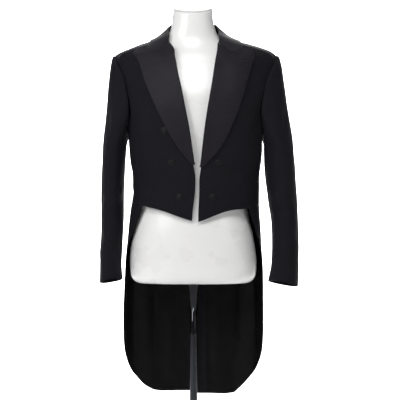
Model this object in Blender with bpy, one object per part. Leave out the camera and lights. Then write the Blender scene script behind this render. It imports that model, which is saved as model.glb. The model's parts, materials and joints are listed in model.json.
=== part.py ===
"""A white tie tailcoat on a limbless dress form, which stands on a pole and a round base.

Metres, +Z up. The origin is the middle of the base's underside, on the pole's axis, and the
coat's front faces -Y. Left and right are the wearer's, so the left side is at +X.

The coat's outer surface is one shell through level sections. A place on it is a turn and a
height: a side's turn is 0 at the side, -90 at the middle of the front and 90 at the middle of
the back. Every cloth panel is a wall on that shell, between seams that it shares.
"""

import math

import bmesh
import bpy
import numpy as np

CLOTH = 0.0016
SATIN = 0.0010
SEAM_GAP = 0.0003
LAID_GAP = 0.0004
# An edge is drawn in by at most this share of the way to the next row of points.
PULL_SHARE = 0.6

LEFT = 1
RIGHT = -1
SIDE_NAMES = {LEFT: "left", RIGHT: "right"}

# Level sections: height, x of the middle, half width, reach to the front and to the back, and
# roundness, where 2 is an ellipse and more is boxier.
COAT_SECTIONS = (
    (0.280, -0.001, 0.2000, 0.110, 0.122, 2.35),
    (0.480, -0.001, 0.2010, 0.115, 0.130, 2.35),
    (0.620, 0.001, 0.1955, 0.122, 0.134, 2.30),
    (0.700, 0.002, 0.1905, 0.125, 0.130, 2.25),
    (0.760, 0.003, 0.1860, 0.124, 0.119, 2.20),
    (0.820, 0.004, 0.1805, 0.121, 0.108, 2.20),
    (0.870, 0.007, 0.1765, 0.119, 0.102, 2.20),
    (0.920, 0.007, 0.1775, 0.121, 0.105, 2.25),
    (0.965, 0.006, 0.1845, 0.125, 0.114, 2.30),
    (1.035, 0.005, 0.1890, 0.127, 0.126, 2.35),
    (1.100, 0.005, 0.2000, 0.123, 0.131, 2.35),
    (1.160, 0.006, 0.2120, 0.113, 0.129, 2.30),
    (1.210, 0.006, 0.2215, 0.098, 0.121, 2.20),
    (1.245, 0.006, 0.2260, 0.082, 0.110, 2.10),
    (1.254, 0.006, 0.2250, 0.077, 0.106, 2.05),
    (1.264, 0.008, 0.2090, 0.070, 0.102, 2.00),
    (1.275, 0.008, 0.1815, 0.062, 0.098, 2.00),
    (1.286, 0.004, 0.1480, 0.054, 0.094, 2.00),
    (1.295, 0.001, 0.1140, 0.046, 0.091, 2.00),
    (1.303, 0.000, 0.0950, 0.038, 0.088, 2.00),
    (1.312, -0.001, 0.0800, 0.030, 0.086, 2.00),
    (1.322, -0.001, 0.0720, 0.024, 0.083, 2.00),
)
FORM_SECTIONS = (
    (0.616, -0.001, 0.1750, 0.106, 0.112, 2.35),
    (0.645, -0.001, 0.1765, 0.109, 0.115, 2.35),
    (0.680, -0.001, 0.1785, 0.112, 0.119, 2.35),
    (0.740, -0.002, 0.1710, 0.113, 0.111, 2.30),
    (0.800, -0.001, 0.1570, 0.109, 0.097, 2.20),
    (0.860, 0.000, 0.1460, 0.104, 0.088, 2.20),
    (0.920, 0.001, 0.1480, 0.106, 0.090, 2.25),
    (1.000, 0.002, 0.1610, 0.112, 0.104, 2.30),
    (1.080, 0.003, 0.1730, 0.112, 0.116, 2.30),
    (1.150, 0.003, 0.1830, 0.102, 0.116, 2.25),
    (1.200, 0.003, 0.1880, 0.086, 0.107, 2.15),
    (1.228, 0.003, 0.1820, 0.074, 0.101, 2.10),
    (1.248, 0.003, 0.1640, 0.066, 0.096, 2.00),
    (1.262, 0.002, 0.1400, 0.059, 0.092, 2.00),
    (1.275, 0.001, 0.1130, 0.053, 0.088, 2.00),
    (1.286, 0.000, 0.0930, 0.049, 0.083, 2.00),
    (1.298, -0.001, 0.0780, 0.046, 0.078, 2.00),
    (1.315, -0.002, 0.0655, 0.045, 0.074, 2.00),
    (1.340, -0.002, 0.0590, 0.045, 0.0715, 2.00),
    (1.400, -0.0025, 0.0545, 0.044, 0.070, 2.00),
)

# Front outlines of each side as (x, height): the edge, the line the lapel turns back on, the
# lapel's free edge, the seam between lapel and collar, and the hem that slopes up to the side.
FRONT_EDGE = {
    LEFT: ((0.0131, 0.788), (0.0145, 0.840), (0.0163, 0.902), (0.0205, 0.936)),
    RIGHT: ((-0.0035, 0.791), (0.0009, 0.841), (0.0058, 0.902), (0.0005, 0.943)),
}
ROLL_LINE = {
    LEFT: ((0.0205, 0.936), (0.0277, 1.002), (0.0415, 1.100), (0.0550, 1.180), (0.0660, 1.251)),
    RIGHT: ((0.0005, 0.943), (-0.0070, 1.002), (-0.0295, 1.125), (-0.0440, 1.193), (-0.0560, 1.257)),
}
ROLL_TOP = {LEFT: (0.0690, 1.277), RIGHT: (-0.0665, 1.277)}
LAPEL_EDGE = {
    LEFT: (
        (0.0215, 0.933),
        (0.0700, 0.986),
        (0.1020, 1.047),
        (0.1275, 1.112),
        (0.1460, 1.174),
        (0.1590, 1.218),
        (0.1630, 1.262),
    ),
    RIGHT: (
        (-0.0005, 0.940),
        (-0.0350, 0.981),
        (-0.0740, 1.044),
        (-0.1070, 1.114),
        (-0.1330, 1.177),
        (-0.1460, 1.220),
        (-0.1565, 1.267),
    ),
}
NOTCH = {LEFT: (0.1380, 1.2640), RIGHT: (-0.1335, 1.2650)}
GORGE_DIP = {LEFT: (0.1050, 1.2500), RIGHT: (-0.1010, 1.2510)}
FRONT_HEM = {
    LEFT: ((0.0131, 0.788), (0.0500, 0.802), (0.0853, 0.8155), (0.1240, 0.8225), (0.1540, 0.8235)),
    RIGHT: ((-0.0035, 0.791), (-0.0611, 0.810), (-0.0894, 0.820), (-0.1421, 0.8335)),
}

# Seams shared by both sides, as (turn, height).
SHOULDER_POINT = (0.0, 1.254)
NECK_POINT = (0.0, 1.312)
NECK_FRONT = (-28.0, 1.300)
BACK_NECK = (90.0, 1.312)
UNDERARM = (6.0, 1.034)
BACK_ARM = (33.0, 1.105)
WAIST_SIDE = (20.0, 0.845)
WAIST_BACK = (72.0, 0.851)
WAIST_MIDDLE = (90.0, 0.853)
FRONT_ARMHOLE = (SHOULDER_POINT, (-18.0, 1.224), (-28.0, 1.165), (-28.0, 1.105), (-12.0, 1.050), UNDERARM)
UNDER_ARMHOLE = (UNDERARM, (20.0, 1.052), BACK_ARM)
BACK_ARMHOLE = (BACK_ARM, (37.0, 1.155), (28.0, 1.215), (13.0, 1.245), SHOULDER_POINT)
SIDE_SEAM = (WAIST_SIDE, (16.0, 0.940), UNDERARM)
BACK_SEAM = (WAIST_BACK, (68.0, 0.930), (54.0, 1.030), BACK_ARM)

# The tails: their hem, the seam between skirt and back, and the skirt's front edge.
TAIL_HEM = {LEFT: 0.289, RIGHT: 0.297}
TAIL_SEAM_TURN = 66.0
TAIL_CORNER_X = 0.116
TAIL_EDGE = (
    (46.0, 0.322),
    (34.0, 0.357),
    (18.0, 0.405),
    (10.0, 0.480),
    (5.0, 0.600),
    (-8.0, 0.700),
    (-30.0, 0.790),
)

# The centre vent: the right tail passes under the left one.
VENT_LAP = 0.022
VENT_TUCK = 0.0023
TUCK_START, TUCK_FADE = 0.014, 0.010
VENT_TOP = 0.835
VENT_FULL = 0.800
LINING_SKIPS_LAP = 3
LINING_GAP = 0.0015
LINING_MARGIN = 0.005

# Steps of each panel's grid along its seams.
STEPS_FRONT_HEM = 6
STEPS_FRONT_WAIST = 3
STEPS_SIDE = 7
STEPS_FRONT_ARM = 9
STEPS_UNDER_ARM = 4
STEPS_BACK_ARM = 7
STEPS_EDGE = 5
STEPS_ROLL = 9
STEPS_NECK_FRONT = 2
STEPS_BACK_UPPER = 10
STEPS_NECK_BACK = 4
# Shares of the way up the tail, closer together at its rounded corner.
TAIL_LEVELS = (0.0, 0.022, 0.056, 0.13, 0.21, 0.3, 0.4, 0.53, 0.68, 0.84, 1.0)
STEPS_TAIL = len(TAIL_LEVELS) - 1
STEPS_SHOULDER = STEPS_FRONT_HEM + STEPS_FRONT_WAIST

# The lapel stands off the chest towards its free edge, and is thickest where it rolls.
LAPEL_GAP = 0.0010
LAPEL_STANDOFF = 0.0042
LAPEL_WALL = 0.0018
LAPEL_ROLL = 0.0016
LAPEL_OVERHANG = 0.0010

# The collar's fold above the neck seam: share of the way from the front end to the middle of
# the back, then how far it lies towards the middle, towards the back, and up.
COLLAR_FOLD = (
    (0.000, 0.0000, 0.0000, 0.0030),
    (0.083, 0.0116, -0.0022, 0.0079),
    (0.167, 0.0221, -0.0038, 0.0133),
    (0.250, 0.0184, -0.0026, 0.0173),
    (0.333, 0.0144, -0.0005, 0.0211),
    (0.417, 0.0131, 0.0007, 0.0246),
    (0.500, 0.0111, -0.0019, 0.0275),
    (0.583, 0.0087, -0.0036, 0.0304),
    (0.750, 0.0043, -0.0049, 0.0325),
    (1.000, 0.0000, -0.0025, 0.0350),
)
COLLAR_REST = 0.0018
COLLAR_WALL = 0.0020
STAND_INSET = 0.0031
# The fall lifts at its front ends and drops from the fold in a curve of this power. The stand
# stops this many steps short of each end.
COLLAR_END_RISE = 0.0024
FALL_FULLNESS = 2.2
STAND_SHORT = 3
COLLAR_OUTER = (
    (-37.0, 1.2835),
    (-22.0, 1.2897),
    (-10.0, 1.2922),
    (0.0, 1.2937),
    (45.0, 1.2990),
    (90.0, 1.2990),
)
COLLAR_END_FADE = 30
STEPS_COLLAR = 12
STEPS_GORGE = 4
STEPS_PEAK = 2

# Sleeve sections: height, inner and outer x from the middle plane, y of the middle, and depth.
SLEEVE_SECTIONS = {
    LEFT: (
        (1.000, 0.1960, 0.2785, 0.004, 0.165),
        (0.930, 0.1985, 0.2850, 0.001, 0.160),
        (0.860, 0.2065, 0.2890, -0.003, 0.151),
        (0.790, 0.2160, 0.2915, -0.010, 0.143),
        (0.720, 0.2185, 0.2930, -0.018, 0.134),
        (0.660, 0.2150, 0.2920, -0.026, 0.126),
        (0.616, 0.2065, 0.2895, -0.032, 0.120),
    ),
    RIGHT: (
        (1.000, 0.1875, 0.2520, 0.004, 0.170),
        (0.930, 0.1920, 0.2560, 0.001, 0.166),
        (0.860, 0.1943, 0.2580, -0.003, 0.158),
        (0.790, 0.1950, 0.2570, -0.010, 0.150),
        (0.720, 0.1980, 0.2585, -0.018, 0.140),
        (0.660, 0.2000, 0.2600, -0.026, 0.131),
        (0.624, 0.1965, 0.2605, -0.031, 0.126),
    ),
}
SLEEVE_ROUNDNESS = 2.25
SLEEVE_GAP = 0.0006
CUFF_RISE_INWARDS = 0.19
CUFF_DROP_BACK = 0.13
# The sleeve head between armhole and upper arm: share of the way down, and how far its top
# stands out and up.
SLEEVE_HEAD = (
    (0.035, 0.0070, 0.0050),
    (0.110, 0.0092, 0.0030),
    (0.280, 0.0085, 0.0000),
    (0.500, 0.0060, 0.0000),
    (0.760, 0.0030, 0.0000),
)
UNDER_SLEEVE_STATIONS = (7, 15)

BUTTON_RADIUS = 0.0100
BUTTON_HEIGHT = 0.0032
BUTTON_GAP = 0.0007
WAIST_BUTTON_GAP = 0.0016
FRONT_BUTTONS = {
    LEFT: ((0.0900, 1.037), (0.0685, 0.950), (0.0525, 0.856)),
    RIGHT: ((-0.0790, 1.037), (-0.0590, 0.949), (-0.0375, 0.856)),
}
WAIST_BUTTON = (69.5, 0.866)
CUFF_BUTTON_RADIUS = 0.0070
CUFF_BUTTON_HEIGHT = 0.0026
CUFF_BUTTON_RISES = (0.020, 0.036)

# The stand.
FORM_BOTTOM = 0.616
FORM_EDGE = 0.028
NECK_TILT = 0.36
NECK_LEVEL = 1.386
NECK_TILT_START = 1.320
NECK_MIDDLE_Y = 0.012
CAP_THICKNESS = 0.004
CAP_SHARE = 0.97
CAP_EASE = 0.012
FORM_LEVELS = (
    0.680, 0.720, 0.760, 0.800, 0.840, 0.880, 0.920, 0.960, 1.000, 1.040, 1.080, 1.120, 1.150,
    1.180, 1.205, 1.224, 1.238, 1.250, 1.262, 1.273, 1.284, 1.297, 1.315, 1.340, 1.364,
)
POLE_RADIUS = 0.011
BASE_RADIUS = 0.190
BASE_THICKNESS = 0.009
FLANGE_RADIUS = 0.028
FLANGE_HEIGHT = 0.024


def monotone_slopes(xs, rows):
    """Slopes that carry a smooth curve through the rows with no overshoot between them."""
    rises = np.diff(rows, axis=0) / np.diff(xs)[:, None]
    slopes = np.vstack([rises[:1], np.zeros_like(rises[1:]), rises[-1:]])
    before = rises[:-1]
    after = rises[1:]
    same_way = before * after > 0
    total = np.where(same_way, before + after, 1.0)
    slopes[1:-1] = np.where(same_way, 2 * before * after / total, 0.0)
    return slopes


def read_between(xs, rows, slopes, x):
    """The smooth curve's values at x."""
    index = int(np.clip(np.searchsorted(xs, x) - 1, 0, len(xs) - 2))
    width = xs[index + 1] - xs[index]
    t = min(max((x - xs[index]) / width, 0.0), 1.0)
    start = rows[index] * (1 + 2 * t) * (1 - t) ** 2 + slopes[index] * width * t * (1 - t) ** 2
    end = rows[index + 1] * t * t * (3 - 2 * t) + slopes[index + 1] * width * t * t * (t - 1)
    return start + end


class Shell:
    """A smooth surface through level sections."""

    def __init__(self, sections):
        table = np.array(sections)
        self.heights = table[:, 0]
        self.rows = table[:, 1:]
        self.slopes = monotone_slopes(self.heights, self.rows)

    def section(self, height):
        return read_between(self.heights, self.rows, self.slopes, height)

    def point(self, turn, height):
        middle, half_width, front, back, roundness = self.section(height)
        along = math.cos(math.radians(turn))
        across = math.sin(math.radians(turn))
        reach = back if across > 0 else front
        x = middle + half_width * math.copysign(abs(along) ** (2 / roundness), along)
        y = reach * math.copysign(abs(across) ** (2 / roundness), across)
        return np.array((x, y, height))

    def normal(self, turn, height):
        step = 0.8
        rise = 0.0015
        around = self.point(turn + step, height) - self.point(turn - step, height)
        up = self.point(turn, height + rise) - self.point(turn, height - rise)
        outward = np.cross(around, up)
        return outward / np.linalg.norm(outward)

    def front_turn(self, side, x, height):
        """The side's turn of the front point at this x."""
        middle, half_width, _, _, roundness = self.section(height)
        share = min(max(side * (x - middle) / half_width, -1.0), 1.0)
        return -math.degrees(math.acos(math.copysign(abs(share) ** (roundness / 2), share)))

    def back_turn(self, side, x, height):
        return -self.front_turn(side, x, height)


COAT = Shell(COAT_SECTIONS)
FORM = Shell(FORM_SECTIONS)


def world_turn(side, turn):
    return turn if side == LEFT else 180.0 - turn


def run(side, knots, steps):
    """(turn, height) places on the coat along a smooth line through the knots.

    Steps is how many even steps there are, or the places' shares of the way along.
    """
    knots = np.array(knots)

    def lengths(places):
        points = np.array([COAT.point(world_turn(side, turn), height) for turn, height in places])
        return np.concatenate([[0.0], np.cumsum(np.linalg.norm(np.diff(points, axis=0), axis=1))])

    marks = lengths(knots)
    slopes = monotone_slopes(marks, knots)
    fine = np.array([read_between(marks, knots, slopes, s) for s in np.linspace(0, marks[-1], 161)])
    walked = lengths(fine)
    stops = np.linspace(0, 1, steps + 1) if isinstance(steps, int) else np.asarray(steps)
    return np.column_stack([np.interp(stops * walked[-1], walked, fine[:, axis]) for axis in (0, 1)])


def joined(*runs):
    """Runs end to end, with each shared place once."""
    return np.vstack([runs[0]] + [one[1:] for one in runs[1:]])


def on_front(side, outline):
    return [(COAT.front_turn(side, x, height), height) for x, height in outline]


def patch(bottom, top, start, end, fade=1):
    """Fills four edges that meet at their corners with a grid: rows go up, columns across.

    The shape of the bottom and top edges reaches into the grid less, the larger fade is.
    """
    u = np.linspace(0, 1, len(bottom))[None, :, None]
    v = np.linspace(0, 1, len(start))[:, None, None]
    across = (1 - u) * start[:, None] + u * end[:, None]
    low = bottom - (1 - u) * bottom[0] - u * bottom[-1]
    high = top - (1 - u) * top[0] - u * top[-1]
    return across + (1 - v) ** fade * low + v**fade * high


def lay(side, grid, out):
    """Points of the grid of places, moved out from the coat's shell by out, which may vary."""
    outs = np.broadcast_to(out, grid.shape[:2])
    points = np.empty(grid.shape[:2] + (3,))
    for row, column in np.ndindex(grid.shape[:2]):
        turn, height = grid[row, column]
        turn = world_turn(side, turn)
        points[row, column] = COAT.point(turn, height) + outs[row, column] * COAT.normal(turn, height)
    return points


def pull_in(points, gap):
    """Draws each edge of a grid in by gap, square to the edge, to leave room at a seam."""
    drawn = points.copy()
    for flip in (False, True):
        source = points.swapaxes(0, 1) if flip else points
        target = drawn.swapaxes(0, 1) if flip else drawn
        for edge, inner in ((0, 1), (-1, -2)):
            along = np.gradient(source[edge], axis=0)
            along /= np.linalg.norm(along, axis=1, keepdims=True)
            inward = source[inner] - source[edge]
            inward -= along * (inward * along).sum(axis=1, keepdims=True)
            room = np.linalg.norm(inward, axis=1, keepdims=True)
            target[edge] += np.minimum(gap, PULL_SHARE * room) * inward / room
    return drawn


def material(name, colour, roughness, metallic=0.0):
    made = bpy.data.materials.new(name)
    made.use_nodes = True
    shader = made.node_tree.nodes["Principled BSDF"]
    shader.inputs["Base Color"].default_value = (*colour, 1.0)
    shader.inputs["Roughness"].default_value = roughness
    shader.inputs["Metallic"].default_value = metallic
    return made


def add_solid(name, vertices, faces, finish, sharp=50.0):
    """A mesh object from vertices and faces, with its faces turned outwards."""
    mesh = bpy.data.meshes.new(name)
    shape = bmesh.new()
    made = [shape.verts.new(place) for place in vertices]
    for face in faces:
        shape.faces.new([made[index] for index in face])
    bmesh.ops.recalc_face_normals(shape, faces=shape.faces)
    shape.to_mesh(mesh)
    shape.free()
    mesh.materials.append(finish)
    mesh.shade_smooth()
    mesh.set_sharp_from_angle(angle=math.radians(sharp))
    solid = bpy.data.objects.new(name, mesh)
    bpy.context.scene.collection.objects.link(solid)
    return solid


def add_wall(name, outer, inner, finish):
    """A sheet with thickness: two grids of points, joined round their four edges."""
    rows, columns = outer.shape[:2]
    count = rows * columns
    index = np.arange(count).reshape(rows, columns)
    faces = []
    for row in range(rows - 1):
        for column in range(columns - 1):
            ring = [index[row, column], index[row, column + 1]]
            ring += [index[row + 1, column + 1], index[row + 1, column]]
            for corners in (ring[:3], [ring[0], *ring[2:]]):
                faces.append(corners)
                faces.append([count + corner for corner in reversed(corners)])
    border = list(index[0, :-1]) + list(index[:-1, -1]) + list(index[-1, :0:-1]) + list(index[:0:-1, 0])
    for one, other in zip(border, border[1:] + border[:1]):
        faces.append([one, count + one, count + other, other])
    vertices = np.vstack([outer.reshape(-1, 3), inner.reshape(-1, 3)])
    return add_solid(name, vertices, faces, finish)


def add_panel(name, side, grid, finish, out=0.0, wall=CLOTH):
    """A cloth panel on the coat's shell, its outer face moved out by out."""
    outer = pull_in(lay(side, grid, out), SEAM_GAP / 2)
    inner = pull_in(lay(side, grid, np.asarray(out) - wall), SEAM_GAP / 2)
    return add_wall(name, outer, inner, finish)


def add_rings(name, rings, finish, sharp=50.0):
    """A closed solid through rings of points, listed from bottom to top, with flat ends."""
    around = len(rings[0])
    vertices = np.vstack(rings)
    faces = [list(range(around))]
    for level in range(len(rings) - 1):
        for spot in range(around):
            after = (spot + 1) % around
            low = level * around
            faces.append([low + spot, low + after, low + around + after, low + around + spot])
    faces.append([(len(rings) - 1) * around + spot for spot in range(around)])
    return add_solid(name, vertices, faces, finish, sharp)


# ---- The coat's body ----


def armhole(side):
    """The three runs of the armhole: forepart, side body and back."""
    front = run(side, FRONT_ARMHOLE, STEPS_FRONT_ARM)
    under = run(side, UNDER_ARMHOLE, STEPS_UNDER_ARM)
    back = run(side, BACK_ARMHOLE, STEPS_BACK_ARM)
    return front, under, back


def waist_runs(side):
    """The seam between skirt and body: from the front hem's end to the side, and to the back."""
    corner = on_front(side, FRONT_HEM[side][-1:])[0]
    front = run(side, (corner, WAIST_SIDE), STEPS_FRONT_WAIST)
    back = run(side, (WAIST_SIDE, WAIST_BACK), STEPS_UNDER_ARM)
    return front, back


def shoulder_run(side):
    return run(side, (NECK_POINT, SHOULDER_POINT), STEPS_SHOULDER)


def gorge_place(side):
    return on_front(side, [ROLL_TOP[side]])[0]


def forepart(side, cloth):
    waist, _ = waist_runs(side)
    hem = run(side, on_front(side, FRONT_HEM[side]), STEPS_FRONT_HEM)
    edge = run(side, on_front(side, FRONT_EDGE[side]), STEPS_EDGE)
    roll = run(side, on_front(side, ROLL_LINE[side]) + [gorge_place(side)], STEPS_ROLL)
    neck = run(side, (gorge_place(side), NECK_FRONT, NECK_POINT), STEPS_NECK_FRONT)
    side_seam = run(side, SIDE_SEAM, STEPS_SIDE)
    front_arm = armhole(side)[0][::-1]
    front, back_edge = joined(edge, roll, neck), joined(side_seam, front_arm)
    grid = patch(joined(hem, waist), shoulder_run(side), front, back_edge)
    return add_panel(f"forepart_{SIDE_NAMES[side]}", side, grid, cloth)


def side_body(side, cloth):
    _, waist = waist_runs(side)
    _, under, _ = armhole(side)
    grid = patch(waist, under, run(side, SIDE_SEAM, STEPS_SIDE), run(side, BACK_SEAM, STEPS_SIDE))
    return add_panel(f"side_body_{SIDE_NAMES[side]}", side, grid, cloth)


def vent_lap(side, height):
    """How far the right tail reaches past the middle, under the left one."""
    if side == LEFT:
        return 0.0
    return VENT_LAP * min(max((VENT_TOP - height) / (VENT_TOP - VENT_FULL), 0.0), 1.0)


def vent_tuck(side, grid):
    """How far the right tail is sunk next to the middle, so that the left one lies over it."""
    sunk = np.zeros(grid.shape[:2])
    if side == LEFT:
        return sunk
    for place in np.ndindex(sunk.shape):
        turn, height = grid[place]
        x = COAT.point(world_turn(side, turn), height)[0]
        near = min(max((x + TUCK_START) / TUCK_FADE, 0.0), 1.0)
        below = min(max((WAIST_MIDDLE[1] - height) / (WAIST_MIDDLE[1] - VENT_TOP), 0.0), 1.0)
        sunk[place] = VENT_TUCK * near * below
    return sunk


def tail_heights(side, top):
    """Levels of the tail's rows: up to the vent's full lap, then its top, then the waist."""
    return [TAIL_HEM[side] + share * (VENT_FULL - TAIL_HEM[side]) for share in TAIL_LEVELS] + [VENT_TOP, top]


def middle_run(side):
    """The tail's edge at the middle of the back, from the hem to the waist."""
    places = []
    for height in tail_heights(side, WAIST_MIDDLE[1]):
        middle = COAT.section(height)[0]
        turn = COAT.back_turn(side, middle + vent_lap(side, height), height)
        places.append((turn, height))
    return np.array(places)


def tail_seam_run(side):
    """The seam between skirt and back, with the same levels as the tail's middle edge."""
    heights = tail_heights(side, WAIST_BACK[1])
    top = WAIST_BACK[1] - TAIL_HEM[side]
    turns = [TAIL_SEAM_TURN + (WAIST_BACK[0] - TAIL_SEAM_TURN) * (z - TAIL_HEM[side]) / top for z in heights]
    return np.column_stack([turns, heights])


def back_grid(side):
    middle = middle_run(side)
    upper = run(side, (WAIST_MIDDLE, BACK_NECK), STEPS_BACK_UPPER)
    neck = run(side, (BACK_NECK, NECK_POINT), STEPS_NECK_BACK)
    seam = run(side, BACK_SEAM, STEPS_SIDE)
    arm = armhole(side)[2]
    inner = joined(middle, upper, neck)
    outer = joined(tail_seam_run(side), seam, arm)
    hem = run(side, (tuple(middle[0]), tuple(outer[0])), STEPS_SHOULDER)
    return patch(hem, shoulder_run(side), inner, outer)


def back(side, cloth):
    grid = back_grid(side)
    return add_panel(f"back_{SIDE_NAMES[side]}", side, grid, cloth, out=-vent_tuck(side, grid))


def tail_edge_knots(side):
    """The skirt's front edge, from its rounded corner at the hem up to the front hem's end."""
    corner_turn = COAT.back_turn(side, side * TAIL_CORNER_X, TAIL_HEM[side])
    corner = (corner_turn, TAIL_HEM[side] + 0.004)
    return [corner, *TAIL_EDGE, on_front(side, FRONT_HEM[side][-1:])[0]]


def skirt_grid(side):
    front_waist, back_waist = waist_runs(side)
    seam = tail_seam_run(side)
    rise = seam[:, 1] - seam[0, 1]
    edge = run(side, tail_edge_knots(side), rise / rise[-1])
    top = joined(front_waist, back_waist)[::-1]
    hem = run(side, (tuple(seam[0]), tuple(edge[0])), len(top) - 1)
    return patch(hem, top, seam, edge)


def skirt(side, cloth):
    return add_panel(f"skirt_{SIDE_NAMES[side]}", side, skirt_grid(side), cloth)


def tail_lining(side, lining):
    """Satin inside one tail, on the points of its back and skirt, short of all their edges."""
    tail = back_grid(side)[:STEPS_TAIL + 1]
    if side == LEFT:
        tail = tail[:, LINING_SKIPS_LAP:]
    grid = np.hstack([tail, skirt_grid(side)[:STEPS_TAIL + 1, 1:]])
    out = -CLOTH - LINING_GAP - vent_tuck(side, grid)
    outer = pull_in(lay(side, grid, out), LINING_MARGIN)
    inner = pull_in(lay(side, grid, out - SATIN), LINING_MARGIN)
    return add_wall(f"tail_lining_{SIDE_NAMES[side]}", outer, inner, lining)


# ---- Lapels and collar ----


def front_outline(side, outline, steps):
    """Evenly spaced (x, height) along a smooth line through an outline seen from the front."""
    return np.array([
        (COAT.point(world_turn(side, turn), height)[0], height)
        for turn, height in run(side, on_front(side, outline), steps)
    ])


def lapel(side, silk):
    """The turned-back front: from the roll line to the free edge, up to the peak."""
    steps_up = 14
    roll = front_outline(side, (*ROLL_LINE[side], ROLL_TOP[side]), steps_up)
    roll[:, 0] -= side * LAPEL_OVERHANG
    edge = front_outline(side, LAPEL_EDGE[side], steps_up)
    gorge = front_outline(side, (ROLL_TOP[side], GORGE_DIP[side], NOTCH[side]), STEPS_GORGE)
    gorge[0] = roll[-1]
    peak = front_outline(side, (NOTCH[side], LAPEL_EDGE[side][-1]), STEPS_PEAK)
    bottom = np.linspace(roll[0], edge[0], STEPS_GORGE + STEPS_PEAK + 1)
    flat = patch(bottom, joined(gorge, peak), roll, edge)
    grid = np.array([[(COAT.front_turn(side, x, z), z) for x, z in row] for row in flat])
    u = np.linspace(0, 1, STEPS_GORGE + STEPS_PEAK + 1)[None, :]
    v = np.linspace(0, 1, steps_up + 1)[:, None]
    under = LAPEL_GAP + LAPEL_STANDOFF * u**1.2 * np.minimum(1.0, v * 4 + 0.15)
    over = under + LAPEL_WALL + LAPEL_ROLL * (1 - u) ** 3
    outer = pull_in(lay(side, grid, over), SEAM_GAP)
    inner = pull_in(lay(side, grid, under), SEAM_GAP)
    return add_wall(f"lapel_{SIDE_NAMES[side]}", outer, inner, silk)


def neck_seam():
    """Places round the neck from the right roll line, past the back, to the left one."""
    halves = []
    for side in (RIGHT, LEFT):
        start = gorge_place(side)
        knots = (start, NECK_FRONT, NECK_POINT, (45.0, 1.312), BACK_NECK)
        half = run(side, knots, STEPS_COLLAR)
        halves.append([(world_turn(side, turn), height) for turn, height in half])
    return np.array(halves[0] + halves[1][-2::-1])


def collar_outer():
    """Places of the fall's free edge, from the right notch to the left one."""
    halves = []
    for side in (RIGHT, LEFT):
        knots = on_front(side, [NOTCH[side]]) + list(COLLAR_OUTER)
        half = run(side, knots, STEPS_COLLAR)
        halves.append([(world_turn(side, turn), height) for turn, height in half])
    return np.array(halves[0] + halves[1][-2::-1])


def fold_points(seam_points):
    """The collar's fold, above the neck seam and close round the neck."""
    table = np.array(COLLAR_FOLD)
    count = len(seam_points)
    share = 1 - np.abs(2 * np.arange(count) / (count - 1) - 1)
    inward, back, rise = (np.interp(share, table[:, 0], table[:, column]) for column in (1, 2, 3))
    return seam_points + np.column_stack([-np.sign(seam_points[:, 0]) * inward, back, rise])


def collar(cloth, silk):
    """The fall lies on the shoulders and rises to its fold; the stand goes down inside it."""
    seam = neck_seam()
    outer_edge = collar_outer()
    base = lay(LEFT, seam[None], 0.0)[0]
    fold = fold_points(base)
    ends = []
    for side, seam_end, edge_end in ((RIGHT, seam[0], outer_edge[0]), (LEFT, seam[-1], outer_edge[-1])):
        dip = on_front(side, [GORGE_DIP[side]])[0]
        half = run(side, ((world_turn(side, seam_end[0]), seam_end[1]), dip,
                          (world_turn(side, edge_end[0]), edge_end[1])), STEPS_GORGE)
        ends.append(np.array([(world_turn(side, turn), height) for turn, height in half]))
    grid = patch(ends[0], ends[1], seam, outer_edge, COLLAR_END_FADE)
    down = np.linspace(0, 1, STEPS_GORGE + 1)[None, :]
    count = len(seam)
    share = 1 - np.abs(2 * np.arange(count)[:, None] / (count - 1) - 1)
    rest = COLLAR_REST + COLLAR_END_RISE * (1 - share) ** 4 * (1 - down)
    lift = (1 - down) ** FALL_FULLNESS
    skin = {}
    for name, extra in (("inner", 0.0), ("outer", COLLAR_WALL)):
        laid = lay(LEFT, grid, rest + extra)
        top = fold + np.array((0.0, 0.0, extra))
        skin[name] = pull_in(laid + (top - laid[:, 0])[:, None] * lift[..., None], SEAM_GAP)
    fall = add_wall("collar_fall", skin["outer"], skin["inner"], silk)
    inward = np.array((0.0, NECK_MIDDLE_Y, 0.0)) - base
    inward[:, 2] = 0.0
    inward /= np.linalg.norm(inward, axis=1, keepdims=True)
    foot = base + inward * STAND_INSET + np.array((0.0, 0.0, STAND_INSET / 2))
    head = fold - np.array((0.0, 0.0, LAID_GAP))
    keep = slice(STAND_SHORT, count - STAND_SHORT)
    stand_rows = [foot[keep], (foot + head)[keep] / 2, head[keep]]
    outer = np.array(stand_rows).swapaxes(0, 1)
    inner = outer + COLLAR_WALL * inward[keep][:, None]
    stand = add_wall("collar_stand", outer, inner, cloth)
    return fall, stand


# ---- Sleeves ----


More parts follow.
